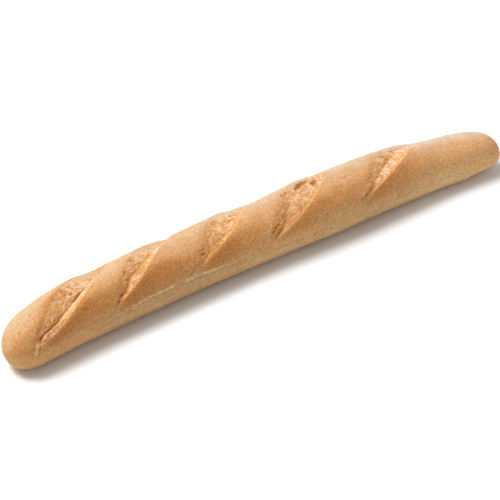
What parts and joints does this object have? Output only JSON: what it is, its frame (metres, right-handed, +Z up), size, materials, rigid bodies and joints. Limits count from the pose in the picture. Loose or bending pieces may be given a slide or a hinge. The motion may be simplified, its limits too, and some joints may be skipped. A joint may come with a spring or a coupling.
{
  "type": "baguette",
  "caption": "Long crusty white baguette with slanting scores torn open along its top and a pale, flattened underside it rests on.",
  "frame": {"origin": "on the surface the loaf rests on, under the middle of its length and width", "axes": "+X along the loaf from its near end to its curled far end, +Y to its back, +Z up"},
  "size_m": [0.56, 0.0806, 0.0548],
  "materials": {
    "crust": "matte, golden brown bread crust with rough torn scores and a paler foot"
  },
  "bodies": {
    "root": {"loaf": "crust"}
  },
  "joints": []
}
